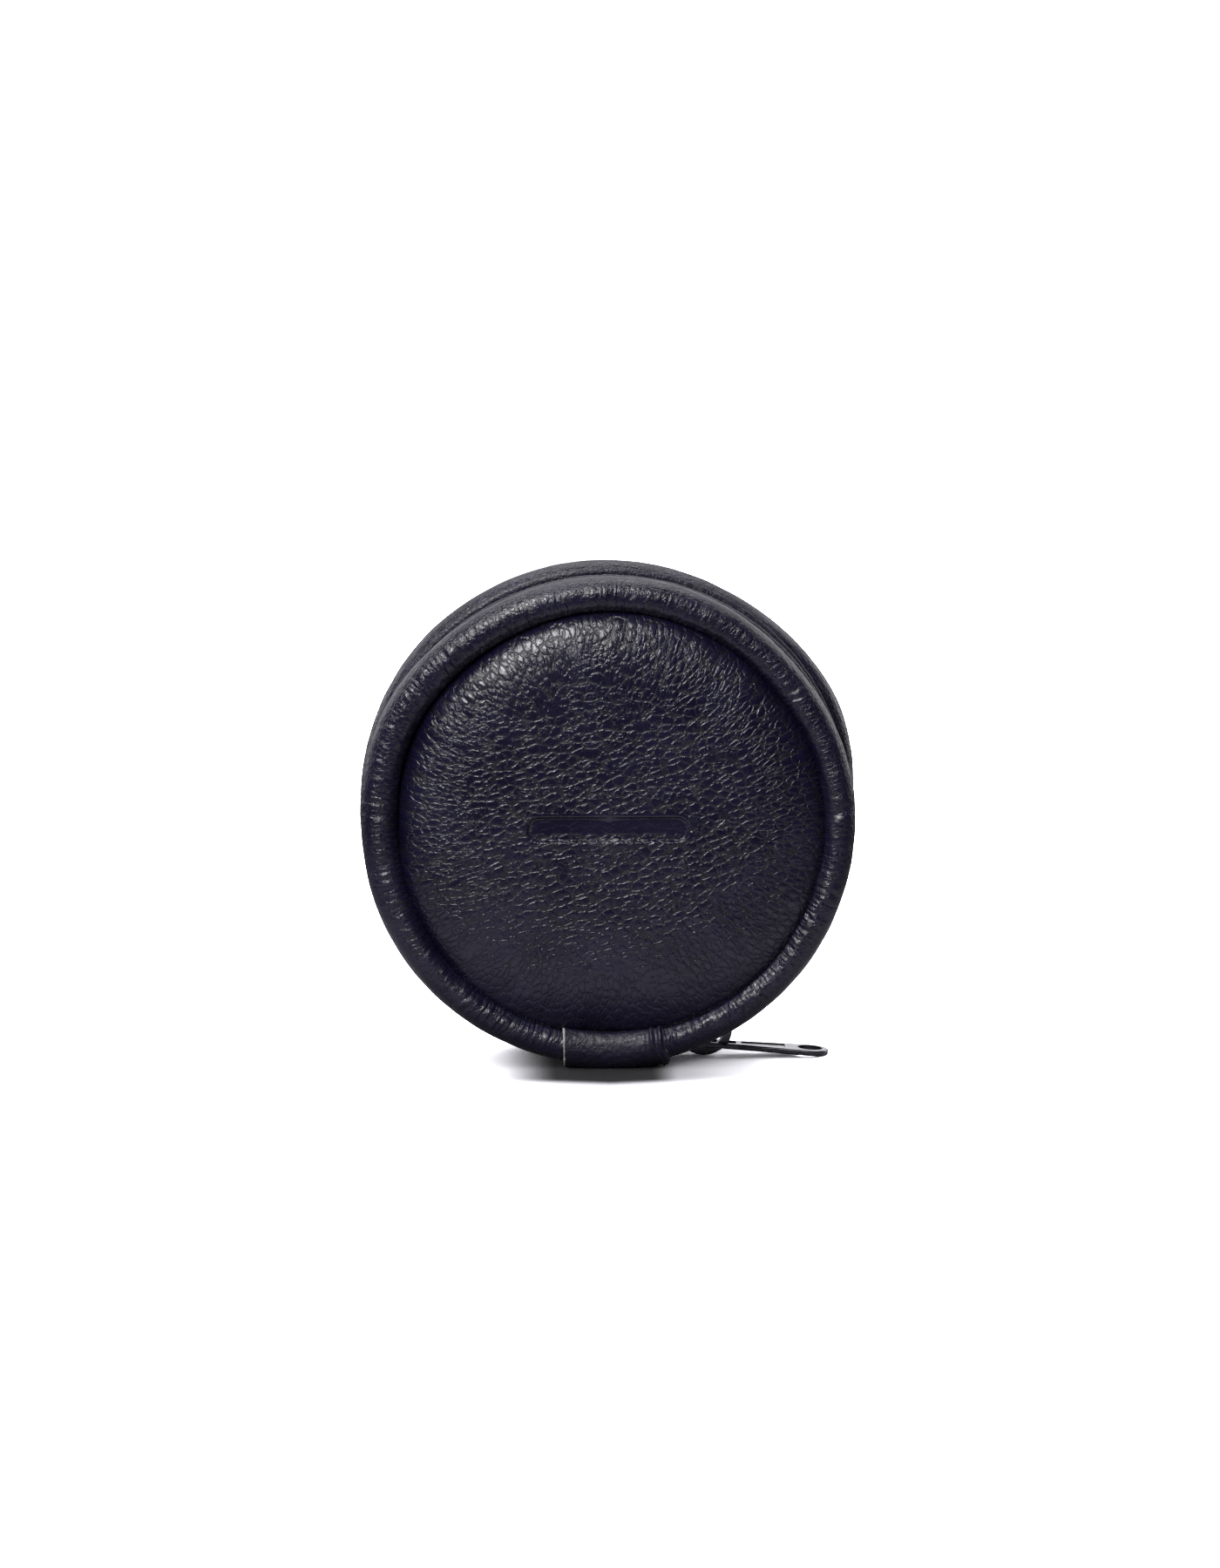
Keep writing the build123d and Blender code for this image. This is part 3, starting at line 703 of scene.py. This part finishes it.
def stitches(name, side, body, row_y, start, end, radius, pitch=3.0):
    """A row of separate stitches that each dip into the leather at both ends."""
    count = int((end - start) * radius / pitch)
    length = pitch * 0.82
    bend, sides = 9, 8
    along = np.linspace(-0.5, 0.5, bend)
    rings_all, faces = [], []
    for k in range(count):
        middle = start + (k + 0.5) * pitch / radius
        lean = 0.10 * RNG.uniform(-1, 1)
        t = along
        rise = 0.17 - 0.42 * np.abs(2 * t) ** 3.2
        wide = 0.25 * (1 - 0.35 * np.abs(2 * t) ** 4)
        spin = np.arange(sides) / sides * TURN
        r = radius + rise[:, None] + wide[:, None] * np.sin(spin)
        y = side * (row_y + lean * t[:, None] * 2 + wide[:, None] * np.cos(spin))
        a = middle + t[:, None] * length / radius + 0 * r
        rings_all.append(place(a, r, y))
        index = np.arange(bend * sides).reshape(bend, sides) + k * bend * sides
        wrapped = np.hstack([index, index[:, :1]])
        quads = np.stack([wrapped[:-1, :-1], wrapped[1:, :-1], wrapped[1:, 1:], wrapped[:-1, 1:]], -1)
        faces += quads.reshape(-1, 4).tolist()
        faces += [index[0][::-1].tolist(), index[-1].tolist()]
    verts = np.concatenate([r.reshape(-1, 3) for r in rings_all])
    uvs = np.stack([np.arctan2(verts[:, 0], CENTRE - verts[:, 2]) * radius, verts[:, 1]], -1)
    obj = mesh_object(name, verts, faces, THREAD, uvs)
    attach(obj, body)
    return obj


def hinge():
    """Leather that joins the halves at the bottom, where the purse bends as the lid opens."""
    right = strip_section(0)[6:]
    right = right + [0.32, STRIP_EDGE - 0.3]
    right[:, 0] -= 0.10 * smooth(6.5, 8.5, right[:, 1])
    across = np.linspace(-right[0, 1], right[0, 1], 26)[1:-1]
    middle = np.stack([np.full(len(across), right[0, 0]), across], -1)
    left = right[::-1] * [1, -1]
    top = np.vstack([left, middle, right])
    loop = np.vstack([top, top[::-1][1:-1] - [0.85, 0]])
    end = HINGE_HALF + 0.036
    count = arc_count(-end, end, 0.35)
    angle = np.linspace(-end, end, count)[:, None]
    u = (angle + end) / (2 * end) * 0.5
    v = (np.arange(len(loop)) / len(loop))[None, :]
    upper = (np.arange(len(loop)) < len(top))[None, :]
    ripple = 0.08 * noise(u, v, 40, 16, 91) + 0.05 * noise(u, v, 90, 40, 92)
    lip = 0.30 * smooth(end - 0.016, end, np.abs(angle))
    crease = -0.16 * bump(loop[None, :, 1], 0, 1.1) - 0.10 * bump(np.abs(loop[None, :, 1]), 3.2, 0.8)
    radius = loop[None, :, 0] + (ripple + crease - lip) * upper
    points = place(angle, radius, loop[None, :, 1] + 0 * radius)
    arc = np.concatenate([[0], np.cumsum(np.hypot(*np.diff(loop, axis=0).T))])
    uv = np.stack(np.broadcast_arrays(angle * STRIP_TOP, arc[None, :]), -1)
    obj = tube_mesh("hinge_cover", points, STRIP_LEATHER, uv=uv)
    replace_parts(obj, "hinge_leather")
    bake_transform(obj)
    return obj


# --- zip ----------------------------------------------------------------------------------------
def tape(name, side, body, start, end, far):
    """Woven tape with a slightly raised cord beside the coil."""
    near = TAPE_LOW[1] + 0.05
    ys = np.concatenate([[near], np.linspace(near + 0.15, far - 0.15, 22), [far]])
    lift = 0.10 * bump(ys, COIL_HIGH[1] + 0.35, 0.25)
    top = np.stack([TAPE_TOP - 0.02 + lift, ys], -1)
    bottom = np.stack([np.full(len(ys), TAPE_TOP - 0.42), ys], -1)[::-1]
    loop = np.vstack([top, bottom])
    count = arc_count(start, end, 0.8)
    angle = np.linspace(start, end, count)[:, None]
    ripple = 0.035 * noise(angle / TURN, (loop[None, :, 1] / 8), 140, 3, 101 + side)
    points = place(angle, loop[None, :, 0] + ripple, side * loop[None, :, 1])
    uv = np.stack(np.broadcast_arrays(angle * TAPE_TOP, loop[None, :, 1]), -1)
    if side < 0:
        points, uv = points[:, ::-1], uv[:, ::-1]
    obj = tube_mesh(name, points, TAPE_CLOTH, uv=uv)
    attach(obj, body)
    return obj


def coil(name, side, body, start, end, phase):
    """A nylon coil: one filament that loops out to the zip line and back under itself."""
    pitch, wire, per_turn, sides = 1.25, 0.27, 16, 7
    middle_r = (COIL_TOP + TAPE_TOP) / 2 - 0.11
    half_r = (COIL_TOP - TAPE_TOP) / 2 - wire - 0.07
    head, tail = -0.30, COIL_HIGH[1] - wire
    radius_c = middle_r
    turns = int((end - start) * radius_c / pitch) - 1
    s = np.arange(turns * per_turn + 1) / per_turn
    cycle = s % 1
    spin = cycle * TURN
    shaped = np.sign(np.cos(spin)) * np.abs(np.cos(spin)) ** 0.75
    y = (head + tail) / 2 - (tail - head) / 2 * shaped
    r = radius_c + half_r * np.sign(np.sin(spin)) * np.abs(np.sin(spin)) ** 0.8
    advance = np.floor(s) + smooth(0.5, 1.0, cycle)
    angle = start + (advance + phase) * pitch / radius_c
    centre = np.stack([angle * radius_c, y, r], -1)
    tangent = np.gradient(centre, axis=0)
    tangent /= np.linalg.norm(tangent, axis=1)[:, None]
    side_vec = np.cross(tangent, [1.0, 0, 0])
    side_vec /= np.maximum(np.linalg.norm(side_vec, axis=1), 1e-6)[:, None]
    up_vec = np.cross(side_vec, tangent)
    ring = np.arange(sides) / sides * TURN
    fat = 1 + 0.18 * bump(cycle, 0, 0.12) + 0.18 * bump(cycle, 1, 0.12)
    offsets = (wire * fat)[:, None, None] * (np.cos(ring)[None, :, None] * side_vec[:, None]
                                             + np.sin(ring)[None, :, None] * up_vec[:, None])
    flat = centre[:, None] + offsets
    points = place(flat[..., 0] / radius_c, flat[..., 2], side * flat[..., 1])
    if side < 0:
        points = points[:, ::-1]
    obj = tube_mesh(name, points, NYLON)
    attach(obj, body)
    return obj


# --- lining -------------------------------------------------------------------------------------
def lining(name, side, body):
    """Cloth inside one half: a disc and a wall up to the zip tape, each a thin closed layer."""
    floor_y = LINING_LOW[1] - 0.02
    disc_edge = LINING_HIGH[0]
    count = 360
    angle = (np.arange(count) / count * TURN)[:, None]
    share = np.linspace(0, 1, 60)[None, :]
    radius = share * disc_edge
    x, z = radius * np.sin(angle), -radius * np.cos(angle)
    rumple = 0.22 * noise((x + 45) / 90, (z + 45) / 90, 9, 9, 111 + side)
    rumple = rumple + 0.10 * noise((x + 45) / 90, (z + 45) / 90, 24, 24, 113 + side)
    tuck = 0.12 * noise(angle / TURN, share, 70, 3, 115) * smooth(0.7, 1.0, share)
    height = floor_y - 0.12 + (rumple * (1 - smooth(0.93, 1.0, share)) + tuck) * 0.8
    points = place(angle, radius, side * height)
    uv = np.stack([x, z], -1)
    disc = grid(name, points, LINING_CLOTH, True, False, uv, flip=side < 0)
    start, end = HINGE_HALF - 0.02, TURN - HINGE_HALF + 0.02
    arc_angle = np.linspace(start, end, arc_count(start, end, 0.8))[:, None]
    bend = np.linspace(0, np.pi / 2, 9)
    wall_r = np.concatenate([39.0 + 5.3 * np.sin(bend), [44.42, 44.45, 44.5]])
    wall_y = np.concatenate([8.75 - 3.0 * (1 - np.cos(bend)), [5.3, 4.9, 4.5]])
    v = (np.arange(len(wall_r)) / len(wall_r))[None, :]
    fold = 0.16 * noise(arc_angle / TURN, v, 90, 4, 117 + side) * np.sin(v * np.pi)
    wall_points = place(arc_angle, wall_r[None, :] - np.abs(fold),
                        side * (wall_y[None, :] - 0.5 * np.abs(fold)))
    arc = np.concatenate([[0], np.cumsum(np.hypot(np.diff(wall_r), np.diff(wall_y)))])
    wall_uv = np.stack(np.broadcast_arrays(arc_angle * 42, arc[None, :]), -1)
    wall = grid(name + "_wall", wall_points, LINING_CLOTH, False, False, wall_uv, flip=side > 0)
    obj = join(name, [disc, wall])
    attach(obj, body)
    return obj


def binding(name, side, body):
    """A ribbon folded over the seam round the edge of the lining."""
    count, around = 420, 18
    angle = (np.arange(count) / count * TURN)[:, None]
    phi = (np.arange(around) / around * TURN)[None, :]
    u, v = angle / TURN, phi / TURN
    wide = 1.55 + 0.12 * noise(u, v, 110, 4, 121 + side)
    high = 0.75 + 0.08 * noise(u, v, 160, 4, 123 + side)
    radius = 38.9 + wide * np.cos(phi)
    along = side * (8.55 - high * np.sin(phi))
    points = place(angle, radius, along)
    uv = np.stack(np.broadcast_arrays(angle * 39, phi * 1.3), -1)
    obj = grid(name, points, BINDING_CLOTH, True, True, uv, flip=side < 0)
    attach(obj, body)
    return obj


def hinge_lining():
    """Cloth inside the hinge, where the purse bends."""
    end = HINGE_HALF + 0.03
    angle = np.linspace(-end, end, 50)[:, None]
    half = np.array([(39.0, 8.75), (41.0, 8.4), (42.6, 7.6), (43.7, 6.6),
                     (44.2, 5.6), (44.4, 4.4), (44.45, 3.2), (44.45, 1.6)])
    line = np.vstack([half * [1, -1], [(44.4, 0)], half[::-1]])
    v = (np.arange(len(line)) / len(line))[None, :]
    fold = 0.25 * noise((angle + end) / 2, v, 60, 6, 131)
    radius = line[None, :, 0] - np.abs(fold)
    points = place(angle, radius, line[None, :, 1] + 0 * radius)
    arc = np.concatenate([[0], np.cumsum(np.hypot(*np.diff(line, axis=0).T))])
    uv = np.stack(np.broadcast_arrays(angle * 42, arc[None, :]), -1)
    obj = grid("hinge_inner_cloth", points, LINING_CLOTH, uv=uv)
    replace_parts(obj, "hinge_lining")
    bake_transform(obj)
    return obj


# --- build everything ---------------------------------------------------------------------------
for half, (side, body) in HALVES.items():
    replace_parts(piping(f"{half}_piping_leather", side, body), f"{half}_piping")
    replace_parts(cord(f"{half}_filler_cord", side, body), f"{half}_piping_cord")
    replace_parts(wrap_sleeve(f"{half}_join_wrap", side, body), f"{half}_piping_wrap")
    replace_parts(panel(f"{half}_padded_panel", side, body), f"{half}_panel", f"{half}_foam")
    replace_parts(gusset(f"{half}_gusset_leather", side, body), f"{half}_gusset")
    row = stitches(f"{half}_gusset_stitches", side, body, STRIP_EDGE + 1.55, HINGE_HALF + 0.06,
                   TURN - HINGE_HALF - 0.06, STRIP_TOP + 0.12)
    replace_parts(row, f"{half}_topstitch")
    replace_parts(lining(f"{half}_lining_cloth", side, body), f"{half}_lining", f"{half}_gusset_lining")
    binding(f"{half}_seam_binding", side, body)
    begin = CHAIN_START if side > 0 else LID_CHAIN_START
    tape_begin = begin - 0.07 if side > 0 else begin
    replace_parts(tape(f"{half}_woven_tape", side, body, tape_begin, TURN - tape_begin, TAPE_HIGH[1]),
                f"{half}_zip_tape")
    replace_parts(coil(f"{half}_nylon_coil", side, body, begin, TURN - begin, 0.0 if side > 0 else 0.5),
                f"{half}_zip_coil")

hinge()
hinge_lining()

ends = []
coils = []
for begin, end in ((CHAIN_START, BASE_CHAIN_END), (TURN - BASE_CHAIN_END, TURN - CHAIN_START)):
    tape_begin = begin - (0.07 if begin < 1 else 0)
    tape_end = end + (0 if begin < 1 else 0.07)
    ends.append(tape("end", -1, "base", tape_begin, tape_end, STRIP_EDGE - 0.4))
    coils.append(coil("coil_end", -1, "base", begin, end, 0.5))
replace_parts(join("front_tape_stubs", ends), "front_tape_ends")
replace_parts(join("front_coil_stubs", coils), "front_coil_ends")

# the CAD nodes that stay visible keep their shapes and get better materials
CAD_LOOKS = {"front_board": BOARD, "back_board": BOARD}
for node in ("zip_top_stops", "zip_bottom_stop", "slider_body", "slider_crown", "pull_tab"):
    CAD_LOOKS[node] = METAL
for node, look in CAD_LOOKS.items():
    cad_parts[node].data.materials.clear()
    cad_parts[node].data.materials.append(look)


# --- camera, floor and light --------------------------------------------------------------------
def look_at(obj, target):
    obj.rotation_euler = (Vector(target) - obj.location).to_track_quat("-Z", "Y").to_euler()


def direction(azimuth, elevation):
    """Unit vector from the purse to a viewer: azimuth 0 is straight in front, and rises to the right."""
    a, e = np.radians(azimuth), np.radians(elevation)
    return Vector((np.sin(a) * np.cos(e), -np.cos(a) * np.cos(e), np.sin(e)))


CAMERA_DISTANCE = 2.4
FRAME_HEIGHT = 0.3040
camera_data = bpy.data.cameras.new("camera")
camera_data.sensor_fit = "VERTICAL"
camera_data.lens = camera_data.sensor_height * CAMERA_DISTANCE / FRAME_HEIGHT
camera = bpy.data.objects.new("camera", camera_data)
bpy.context.scene.collection.objects.link(camera)
aim = Vector((0.0003, -RING_Y * MM, CENTRE * MM + 0.0073))
camera.location = aim + direction(-1.4, 9.5) * CAMERA_DISTANCE
look_at(camera, aim)
bpy.context.scene.camera = camera


def area_light(name, azimuth, elevation, distance, size, power, colour=(1, 1, 1)):
    data = bpy.data.lights.new(name, "AREA")
    data.shape = "RECTANGLE"
    data.size, data.size_y = size
    data.energy = power
    data.color = colour
    obj = bpy.data.objects.new(name, data)
    bpy.context.scene.collection.objects.link(obj)
    middle = Vector((0, 0, CENTRE * MM))
    obj.location = middle + direction(azimuth, elevation) * distance
    look_at(obj, middle)
    return obj


key = area_light("key", -24, 41, 0.75, (0.34, 0.30), 9.2)
area_light("top", 176, 70, 0.80, (0.9, 0.34), 4.1)
area_light("rim_left", -125, 16, 0.9, (0.35, 0.8), 2.0)
area_light("rim_right", 125, 16, 0.9, (0.35, 0.8), 2.0)

# The floor looks white to the camera all round the soft shadow, partly rendered and partly painted, but
# throws little light back up.
ground = Shader("pale_floor")
tree = ground.tree
tree.nodes.remove(ground.principled)
at = ground.object_mm()
x = ground.node("SeparateXYZ", at, out=0)
y = ground.node("SeparateXYZ", at, out=1)
# painted shadow: where the purse touches the floor the painted shade is darkest, with a paler tail under the
# zip pull
core = ground.math("MULTIPLY", ground.ramp(x, -25.0, -10.0), ground.ramp(x, 8.0, 19.0, 1.0, 0.0))
tail = ground.math("MULTIPLY", ground.ramp(x, -30.0, 5.0), ground.ramp(x, 12.0, 48.0, 0.55, 0.0))
shade = ground.math("MAXIMUM", ground.math("MULTIPLY", core, 0.96), tail)
front = ground.math("SUBTRACT", y, ground.math("MULTIPLY", ground.math("ABSOLUTE", x), 0.22))
shade = ground.math("MULTIPLY", shade, ground.ramp(front, -33.5, -26.5))
open_floor = ground.math("SUBTRACT", 1.0, shade)
away = ground.node("VectorMath", at, operation="LENGTH", out=1)
grey = ground.node("CombineXYZ", open_floor, open_floor, open_floor)
seen = ground.node("BsdfDiffuse", ground.scale(grey, (6.0, 6.0, 6.15)))
# painted light: for what the purse sees, the floor is paler near it, standing in for light bounced up
near = ground.ramp(away, 70.0, 150.0, 0.70, 0.14)
dim = ground.node("CombineXYZ", near, near, near)
painted_bounce_floor = ground.node("BsdfDiffuse", ground.scale(dim, (0.96, 0.94, 1.0)))
glow = ground.node("Emission", (1, 1, 1, 1), ground.ramp(away, 110.0, 260.0, 0.0, 1.2))
white = ground.node("AddShader", seen, glow)
# painted glow: what the purse sees of the floor in front of it is bright, as under a wide front light
ahead = ground.math("MULTIPLY", ground.ramp(y, -42.0, -26.0, 1.0, 0.0),
                    ground.ramp(away, 85.0, 150.0, 0.55, 0.0))
wash = ground.node("AddShader", painted_bounce_floor, ground.node("Emission", (0.97, 0.95, 1.0, 1), ahead))
camera_ray = ground.node("LightPath")
floor_mix = ground.node("MixShader", camera_ray, wash, white)
tree.links.new(floor_mix, tree.nodes["Material Output"].inputs["Surface"])
size = 3000
floor = mesh_object("floor", [(-size, -size, 0), (size, -size, 0), (size, size, 0), (-size, size, 0)],
                    [(0, 1, 2, 3)], ground.material)

# The key light falls on the purse alone, so that only the light from behind and above draws its shadow.
unlit = bpy.data.collections.new("not_lit_by_the_key")
unlit.objects.link(floor)
key.light_linking.receiver_collection = unlit
unlit.collection_objects[0].light_linking.link_state = "EXCLUDE"

# The studio: white to the camera, bright above and behind the purse, dark in front of it.
world = bpy.data.worlds.new("studio")
bpy.context.scene.world = world
world.use_nodes = True
studio = Shader(tree=world.node_tree)
background = studio.tree.nodes["Background"]
background.inputs["Color"].default_value = (0.97, 0.96, 1.0, 1)
way = studio.node("TexCoord", out=0)
behind = studio.ramp(studio.node("SeparateXYZ", way, out=1), -0.2, 0.7)
above = studio.ramp(studio.node("SeparateXYZ", way, out=2), 0.1, 0.9)
light = studio.math("ADD", 0.02, studio.math("MAXIMUM", studio.math("MULTIPLY", behind, 1.0),
                                             studio.math("MULTIPLY", above, 0.20)))
shown = studio.mix(studio.node("LightPath"), light, 1.0)
studio.tree.links.new(shown, background.inputs["Strength"])
bpy.context.scene.view_settings.view_transform = "Standard"
